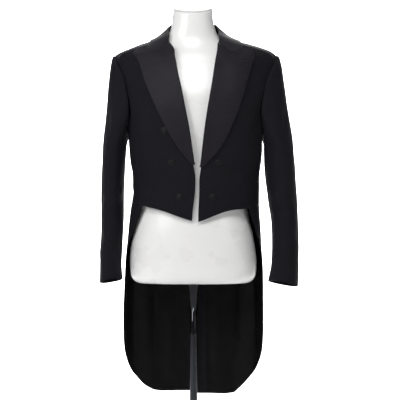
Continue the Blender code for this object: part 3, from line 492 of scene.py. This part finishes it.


# For each cut panel: the corner its grid starts from, the corner its first row runs towards, and its grid
# step.
for name, side in SIDES.items():
    panels = {
        "forepart": ((0.013 * side, -0.11, 0.788), (0.154 * side, -0.06, 0.823), 0.0045),
        "side_body": ((0.17 * side, 0.04, 0.845), (0.07 * side, 0.10, 0.851), 0.0045),
        "back": ((0.0, 0.12, 0.29), (0.09 * side, 0.11, 0.29), 0.0050),
        "skirt": ((0.09 * side, 0.11, 0.29), (0.116 * side, 0.10, 0.293), 0.0050),
    }
    for panel, (start, along, step) in panels.items():
        node = f"{panel}_{name}"
        points = fine_grid(outer_face(node, 0.0, start, along), step)
        normals = outward(points, 0.0)
        points = points + normals * (body_shape(points, side) + pressed_edges(points))[..., None]
        add_cloth(f"{node}_cloth", points, outward(points, 0.0), CLOTH, barathea, node)

# ---- Tail lining ----
# The real lining is black twilled satin, cut 5 mm inside each tail and slip stitched round its
# edges by hand. The left one holds a jetted pocket.
satin_lining, tree, shader = new_finish("black_lining_satin")
shader.inputs["Base Color"].default_value = colour("#070608")
shader.inputs["Specular IOR Level"].default_value = 0.16
shader.inputs["Anisotropic"].default_value = 0.5
cut = add_node(tree, "ShaderNodeTexCoord")
# Satin floats are 0.25 mm wide, drawn 1.2 mm wide so that they show.
stretch = add_node(tree, "ShaderNodeMapping", Vector=cut.outputs["UV"], Scale=(820.0, 90.0, 1.0))
floats = add_node(tree, "ShaderNodeTexNoise", Vector=stretch.outputs["Vector"], Scale=1.0, Detail=2.0)
rough = add_node(tree, "ShaderNodeMapRange", Value=floats.outputs["Fac"], To_Min=0.34, To_Max=0.52)
tree.links.new(rough.outputs["Result"], shader.inputs["Roughness"])
bump = add_node(tree, "ShaderNodeBump", Height=floats.outputs["Fac"], Strength=0.12, Distance=0.0002)
tree.links.new(bump.outputs["Normal"], shader.inputs["Normal"])

LINING = 0.0006
# The pocket's welt stands out as a ridge along its mouth and down its end.
POCKET = (
    ((0.1244, 0.105, 0.4433), (0.1480, 0.098, 0.4405), 0.0026, -0.0016),
    ((0.1490, 0.098, 0.4405), (0.1535, 0.095, 0.3946), 0.0026, -0.0014),
)
# The lining follows the tail's folds, with finer hollows of its own, and stays clear of the cloth.
LINING_HOLLOW, LINING_UNEVEN = 0.030, 0.0006
LINING_ROOM = 0.0002
for name, side in SIDES.items():
    node = f"tail_lining_{name}"
    points = fine_grid(outer_face(node, 0.0, (0.0, 0.12, 0.295), (0.116 * side, 0.10, 0.298)), 0.0045)
    normals = outward(points, 0.0)
    follows = body_shape(points, side)
    shape = follows + uneven(points, LINING_HOLLOW, LINING_UNEVEN, 11.0)
    if side > 0:
        shape = shape + folds(points, POCKET)
    points = points + normals * np.minimum(shape, follows + LINING_ROOM)[..., None]
    add_cloth(f"{node}_satin", points, outward(points, 0.0), LINING, satin_lining, node)

# ---- Sleeves ----
# Each real sleeve is a top sleeve and an under sleeve in the same barathea, eased into the
# armhole over a wadded roll and finished at the cuff with a mock vent and two buttons.
SLEEVE_FOLDS = (
    ((0.200, -0.060, 0.885), (0.285, -0.055, 0.845), 0.012, -0.0036),
    ((0.205, -0.070, 0.865), (0.275, -0.070, 0.822), 0.010, 0.0026),
    ((0.203, -0.070, 0.838), (0.262, -0.080, 0.800), 0.010, -0.0030),
    ((0.205, 0.020, 0.870), (0.230, -0.070, 0.850), 0.012, -0.0030),
    ((0.282, 0.040, 0.870), (0.255, 0.078, 0.820), 0.014, 0.0024),
    ((0.272, -0.030, 1.130), (0.235, -0.078, 0.990), 0.015, -0.0030),
    ((0.282, -0.010, 1.060), (0.262, -0.060, 0.940), 0.014, 0.0026),
    ((0.280, 0.030, 1.120), (0.240, 0.080, 0.980), 0.016, -0.0028),
    ((0.288, -0.050, 0.760), (0.225, -0.085, 0.700), 0.013, -0.0024),
    ((0.290, -0.030, 0.720), (0.240, -0.090, 0.655), 0.012, 0.0020),
    ((0.286, 0.020, 0.760), (0.250, 0.050, 0.680), 0.014, -0.0022),
)
# The arms hang unevenly: each sleeve's middle, and how far its creases lie nearer the body.
SLEEVE_MIDDLES = {"left": (0.240, 0.0), "right": (-0.226, 0.016)}
SLEEVE_DRIFT = 0.010
SLEEVE_HOLLOW, SLEEVE_UNEVEN = 0.060, 0.0013
# Beside the body the sleeve keeps nearly its own shape, so as to stay clear.
ARM_SIDE, ARM_FADE = 0.045, 0.030
for name, side in SIDES.items():
    middle_x, inset = SLEEVE_MIDDLES[name]
    lines = [
        ((start[0] + inset, *start[1:]), (end[0] + inset, *end[1:]), width, height)
        for start, end, width, height in on_side(SLEEVE_FOLDS, side, SLEEVE_DRIFT)
    ]
    starts = {
        "top_sleeve": ((0.21 * side, 0.06, 1.10), (0.20 * side, -0.06, 1.10)),
        "under_sleeve": ((0.19 * side, -0.05, 1.05), (0.18 * side, 0.06, 1.10)),
    }
    for panel, (start, along) in starts.items():
        node = f"{panel}_{name}"
        points = fine_grid(outer_face(node, middle_x, start, along), 0.0042)
        normals = outward(points, middle_x)
        shape = folds(points, lines) + uneven(points, SLEEVE_HOLLOW, SLEEVE_UNEVEN, 7.0 + side)
        shape = shape + pressed_edges(points)
        clear = np.clip((side * (points[..., 0] - middle_x) + ARM_SIDE) / ARM_FADE, 0.15, 1.0)
        points = points + normals * (shape * clear)[..., None]
        add_cloth(f"{node}_cloth", points, outward(points, middle_x), CLOTH, barathea, node)

# ---- Lapels ----
# The real lapels are faced with black silk satin, turned back on a soft roll over canvas, and
# pointed at the top. Their edges are pick stitched by hand, and the left one has a buttonhole.
silk_satin, tree, shader = new_finish("black_silk_satin")
shader.inputs["Specular IOR Level"].default_value = 0.15
shader.inputs["Anisotropic"].default_value = 0.45
shader.inputs["Sheen Weight"].default_value = 0.05
shader.inputs["Sheen Roughness"].default_value = 0.30
cut = add_node(tree, "ShaderNodeTexCoord")
# Silk floats are 0.2 mm wide, drawn 1 mm wide; the odd thicker thread runs for 20 mm or more.
stretch = add_node(tree, "ShaderNodeMapping", Vector=cut.outputs["UV"], Scale=(950.0, 110.0, 1.0))
floats = add_node(tree, "ShaderNodeTexNoise", Vector=stretch.outputs["Vector"], Scale=1.0, Detail=3.0)
slubs = add_node(tree, "ShaderNodeMapping", Vector=cut.outputs["UV"], Scale=(30.0, 260.0, 1.0))
slub = add_node(tree, "ShaderNodeTexNoise", Vector=slubs.outputs["Vector"], Scale=1.0, Detail=3.0)
tint = add_node(tree, "ShaderNodeMix", {"data_type": "RGBA"}, i0=slub.outputs["Fac"],
                i6=colour("#17151a"), i7=colour("#232026"))
tree.links.new(tint.outputs[2], shader.inputs["Base Color"])
rough = add_node(tree, "ShaderNodeMapRange", Value=floats.outputs["Fac"], To_Min=0.48, To_Max=0.62)
tree.links.new(rough.outputs["Result"], shader.inputs["Roughness"])
bump = add_node(tree, "ShaderNodeBump", Height=floats.outputs["Fac"], Strength=0.18, Distance=0.0002)
tree.links.new(bump.outputs["Normal"], shader.inputs["Normal"])

# Silk buttonhole twist, for the stitches and the worked buttonhole.
silk_twist, tree, shader = new_finish("black_silk_twist")
shader.inputs["Roughness"].default_value = 0.5
shader.inputs["Sheen Weight"].default_value = 0.2
place = add_node(tree, "ShaderNodeTexCoord")
# The twist's plies are 0.15 mm apart, drawn 0.4 mm apart.
plies = add_node(tree, "ShaderNodeTexWave", {"bands_direction": "DIAGONAL"},
                 Vector=place.outputs["Object"], Scale=1300.0, Distortion=0.5)
tint = add_node(tree, "ShaderNodeMix", {"data_type": "RGBA"}, i0=plies.outputs["Fac"],
                i6=colour("#0e0d10"), i7=colour("#232127"))
tree.links.new(tint.outputs[2], shader.inputs["Base Color"])
bump = add_node(tree, "ShaderNodeBump", Height=plies.outputs["Fac"], Strength=0.3, Distance=0.0001)
tree.links.new(bump.outputs["Normal"], shader.inputs["Normal"])


def rolled(points, normals, radius, turn):
    """The grid with rows added before its first column, curling over and down behind it."""
    out = points[:, 0] - points[:, 1]
    up = normals[:, 0]
    out -= up * (out * up).sum(axis=1, keepdims=True)
    out /= np.linalg.norm(out, axis=1, keepdims=True)
    centre = points[:, 0] - up * radius
    curl = []
    for angle in np.radians(np.arange(turn, 0, -22.5)):
        curl.append(centre + radius * (up * math.cos(angle) + out * math.sin(angle)))
    return np.concatenate([np.stack(curl, axis=1), points], axis=1)


def add_stitches(name, edge, normals):
    """Hand stitches along an edge: each is a short grain of thread half sunk in the cloth."""
    path = edge + normals * 0.0001
    steps = np.linalg.norm(np.diff(path, axis=0), axis=1)
    gone = np.concatenate([[0.0], np.cumsum(steps)])
    vertices, faces = [], []
    for at in np.arange(PICK_SPACING, gone[-1] - PICK_SPACING, PICK_SPACING):
        middle = np.array([np.interp(at, gone, path[:, axis]) for axis in range(3)])
        ahead = np.array([np.interp(at + 0.001, gone, path[:, axis]) for axis in range(3)]) - middle
        ahead /= np.linalg.norm(ahead)
        up = np.array([np.interp(at, gone, normals[:, axis]) for axis in range(3)])
        beside = np.cross(ahead, up)
        first = len(vertices)
        vertices.append(middle - ahead * PICK_LENGTH / 2)
        for turn in range(6):
            angle = turn * math.pi / 3
            round_place = up * math.sin(angle) + beside * math.cos(angle)
            vertices.append(middle + PICK_WIDTH / 2 * round_place)
        vertices.append(middle + ahead * PICK_LENGTH / 2)
        for turn in range(6):
            one, other = first + 1 + turn, first + 1 + (turn + 1) % 6
            faces.append((first, other, one))
            faces.append((first + 7, one, other))
    mesh = bpy.data.meshes.new(name)
    mesh.from_pydata([tuple(vertex) for vertex in vertices], [], faces)
    made = bpy.data.objects.new(name, mesh)
    bpy.context.scene.collection.objects.link(made)
    bpy.ops.object.select_all(action="DESELECT")
    made.select_set(True)
    bpy.context.view_layer.objects.active = made
    bpy.ops.object.mode_set(mode="EDIT")
    bpy.ops.mesh.select_all(action="SELECT")
    bpy.ops.mesh.normals_make_consistent(inside=False)
    bpy.ops.object.mode_set(mode="OBJECT")
    bpy.ops.object.shade_smooth()
    mesh.materials.append(silk_twist)
    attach(made, "root")
    return made


SATIN = 0.0012
# The roll is full and springs off the chest, the middle is full, and the point turns in a little.
ROLL_FULLNESS, ROLL_WIDTH = 0.0020, 0.016
MIDDLE_FULLNESS = 0.0012
POINT_DIP, POINT_START = 0.0016, 0.86
LAPEL_HOLLOW, LAPEL_UNEVEN = 0.045, 0.0009
# The edges of the satin are pressed flat over this width, and its roll turns on this radius.
SATIN_EDGE, EDGE_WIDTH = 0.0006, 0.0022
LAPEL_ROLL = 0.0024
# The buttonhole is 21 mm long and drawn up narrow. Pick stitches lie 6 mm apart.
HOLE_LENGTH, HOLE_CORD, HOLE_NARROW = 0.021, 0.0014, 0.13
PICK_SPACING, PICK_LENGTH, PICK_WIDTH = 0.0060, 0.0013, 0.0006
# Each lapel's foot: the ends of its lowest row, at the roll and at the outer edge.
LAPEL_FEET = {"left": ((0.0195, -0.13, 0.936), (0.0215, -0.13, 0.933)),
              "right": ((0.0015, -0.13, 0.943), (-0.0005, -0.13, 0.940))}
for name, side in SIDES.items():
    node = f"lapel_{name}"
    points = fine_grid(outer_face(node, 0.0, *LAPEL_FEET[name]), 0.0032)
    normals = outward(points, 0.0)
    across = np.linalg.norm(np.diff(points, axis=1), axis=2)
    gone = np.concatenate([np.zeros((len(points), 1)), np.cumsum(across, axis=1)], axis=1)
    share = gone / gone[:, -1:]
    up = np.linspace(0, 1, len(points))[:, None]
    belly = ROLL_FULLNESS * np.exp(-((gone / ROLL_WIDTH) ** 2))
    belly = belly + MIDDLE_FULLNESS * np.sin(math.pi * share) * np.sin(math.pi * up)
    tip = -POINT_DIP * np.clip((up - POINT_START) / (1 - POINT_START), 0, 1) * share**2
    shape = body_shape(points, side) + belly * np.clip(up * 6, 0, 1) + tip
    shape = shape + uneven(points, LAPEL_HOLLOW, LAPEL_UNEVEN, 5.0)
    shape = shape - SATIN_EDGE * np.exp(-(((gone[:, -1:] - gone) / EDGE_WIDTH) ** 2))
    points = points + normals * shape[..., None]
    normals = outward(points, 0.0)
    curled = rolled(points, normals, LAPEL_ROLL, 157.5)
    add_cloth(f"{node}_satin", curled, outward(curled, 0.0), SATIN, silk_satin, node)
    add_stitches(f"lapel_pick_stitches_{name}", points[6:-1, -2], normals[6:-1, -2])
    if side > 0:
        # The buttonhole lies square to the edge, 40 mm below the point: a silk cord sewn round a slit.
        row, column = int(len(points) * 0.875), int(points.shape[1] * 0.74)
        middle, facing = Vector(points[row, column]), Vector(normals[row, column])
        sideways = Vector(points[row, column + 2] - points[row, column - 2]).normalized()
        bpy.ops.object.select_all(action="DESELECT")
        bpy.ops.mesh.primitive_torus_add(major_radius=HOLE_LENGTH / 2, minor_radius=HOLE_CORD / 2,
                                         major_segments=64, minor_segments=10)
        hole = bpy.context.object
        hole.name = "lapel_buttonhole"
        for vert in hole.data.vertices:
            x, y, z = vert.co
            upward = facing.cross(sideways) * (y * HOLE_NARROW)
            vert.co = middle + sideways * x + upward + facing * (z + 0.0002)
        bpy.ops.object.shade_smooth()
        hole.data.materials.append(silk_twist)
        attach(hole, "root")

# ---- Collar ----
# The real collar is an under collar of melton and canvas with a silk satin top collar drawn over
# it, so that it stands against the neck, folds, and falls over the neck seam.
FALL_HOLLOW, FALL_UNEVEN = 0.040, 0.0007
FALL_ROLL = 0.0018
# The right front end of the fall, at the fold and at its edge.
COLLAR_FRONT = ((-0.0665, -0.06, 1.283), (-0.1335, -0.05, 1.266))
points = fine_grid(outer_face("collar_fall", 0.0, *COLLAR_FRONT, bend=30), 0.0030)
normals = outward(points, 0.0)
shape = uneven(points, FALL_HOLLOW, FALL_UNEVEN, 9.0) + pressed_edges(points, SATIN_EDGE, EDGE_WIDTH)
points = points + normals * shape[..., None]
normals = outward(points, 0.0)
curled = rolled(points, normals, FALL_ROLL, 135)
add_cloth("collar_fall_satin", curled, outward(curled, 0.0), SATIN, silk_satin, "collar_fall")
add_stitches("collar_pick_stitches", points[1:-1, -2], normals[1:-1, -2])
STAND_FRONT = ((-0.09, -0.05, 1.290), (-0.09, -0.05, 1.320))
points = fine_grid(outer_face("collar_stand", 0.0, *STAND_FRONT), 0.0040)
add_cloth("collar_stand_cloth", points, outward(points, 0.0), CLOTH, barathea, "collar_stand")

# ---- Buttons ----
# The real buttons are domed moulds covered with the lapels' silk, drawn tight and tied behind:
# three on each front, two at the back waist, and two smaller ones on each cuff.
covered_silk, tree, shader = new_finish("silk_covered_button")
shader.inputs["Base Color"].default_value = colour("#0c0b0e")
shader.inputs["Specular IOR Level"].default_value = 0.22
place = add_node(tree, "ShaderNodeTexCoord")
# The cover's ribs are 0.5 mm apart, drawn 1.1 mm apart.
ribs = add_node(tree, "ShaderNodeTexWave", {"bands_direction": "DIAGONAL"},
                Vector=place.outputs["Object"], Scale=460.0, Distortion=1.0, Detail=1.0)
cross = add_node(tree, "ShaderNodeTexWave", {"bands_direction": "X"}, Vector=place.outputs["Object"],
                 Scale=460.0, Distortion=1.0, Detail=1.0)
weave = add_node(tree, "ShaderNodeMath", {"operation": "MULTIPLY"},
                 i0=ribs.outputs["Fac"], i1=cross.outputs["Fac"])
rough = add_node(tree, "ShaderNodeMapRange", Value=weave.outputs["Value"], To_Min=0.55, To_Max=0.38)
tree.links.new(rough.outputs["Result"], shader.inputs["Roughness"])
bump = add_node(tree, "ShaderNodeBump", Height=weave.outputs["Value"], Strength=0.35, Distance=0.0002)
tree.links.new(bump.outputs["Normal"], shader.inputs["Normal"])
for name, side in SIDES.items():
    kinds = [f"front_button_{name}_{number}" for number in (1, 2, 3)]
    kinds += [f"cuff_button_{name}_{number}" for number in (1, 2)]
    for node in (*kinds, f"waist_button_{name}"):
        smooth_copy(node, covered_silk, sharp=75)

# ---- Camera, floor and light ----
camera = bpy.data.objects.new("camera", bpy.data.cameras.new("camera"))
camera.data.lens = 115.7
camera.data.sensor_width = 36.0
camera.location = (0.018, -3.6, 0.848)
camera.rotation_euler = (math.radians(90), 0, 0)
bpy.context.scene.collection.objects.link(camera)
bpy.context.scene.camera = camera

paper, tree, shader = new_finish("white_paper_sweep")
shader.inputs["Base Color"].default_value = colour("#fbfbfb")
shader.inputs["Roughness"].default_value = 0.9
bpy.ops.object.select_all(action="DESELECT")
bpy.ops.mesh.primitive_grid_add(x_subdivisions=2, y_subdivisions=40, size=1.0, location=(0, 0, 0))
sweep = bpy.context.object
sweep.name = "paper_sweep"
for vert in sweep.data.vertices:
    run = (vert.co.y + 0.5) * 20.0
    flat, bend = 13.0, 1.5
    turn = min(max((run - flat) / bend, 0.0), math.pi / 2)
    y = min(run, flat) + bend * math.sin(turn)
    z = bend * (1 - math.cos(turn)) + max(run - flat - bend * math.pi / 2, 0.0)
    vert.co = (vert.co.x * 14.0, y - 5.0, z - 0.0006)
bpy.ops.object.shade_smooth()
sweep.data.materials.append(paper)

for name, place, aim, size, power, spread in (
    ("key", (-2.6, -3.2, 2.6), (0, 0, 0.85), 1.6, 72.0, 180),
    ("fill", (2.8, -3.0, 1.6), (0, 0, 0.8), 1.8, 10.0, 180),
    ("chest", (-0.2, -2.4, 3.3), (0, -0.05, 1.34), 1.6, 4.2, 40),
    ("top", (0.0, 0.6, 3.2), (0, 0, 0.9), 1.6, 14.0, 180),
    ("backdrop", (0.0, 4.6, 5.2), (0, 9.5, 0.8), 4.0, 1500.0, 180),
    ("floor_wash", (0.0, 4.6, 5.0), (0, 4.2, 0.0), 3.0, 500.0, 180),
):
    lamp = bpy.data.lights.new(name, "AREA")
    lamp.energy, lamp.size, lamp.spread = power, size, math.radians(spread)
    held = bpy.data.objects.new(name, lamp)
    held.location = place
    held.rotation_euler = (Vector(aim) - Vector(place)).to_track_quat("-Z", "Y").to_euler()
    bpy.context.scene.collection.objects.link(held)
world = bpy.data.worlds.new("soft_white")
world.use_nodes = True
world.node_tree.nodes["Background"].inputs["Color"].default_value = colour("#ffffff")
world.node_tree.nodes["Background"].inputs["Strength"].default_value = 0.10
bpy.context.scene.world = world
bpy.context.scene.view_settings.view_transform = "Standard"
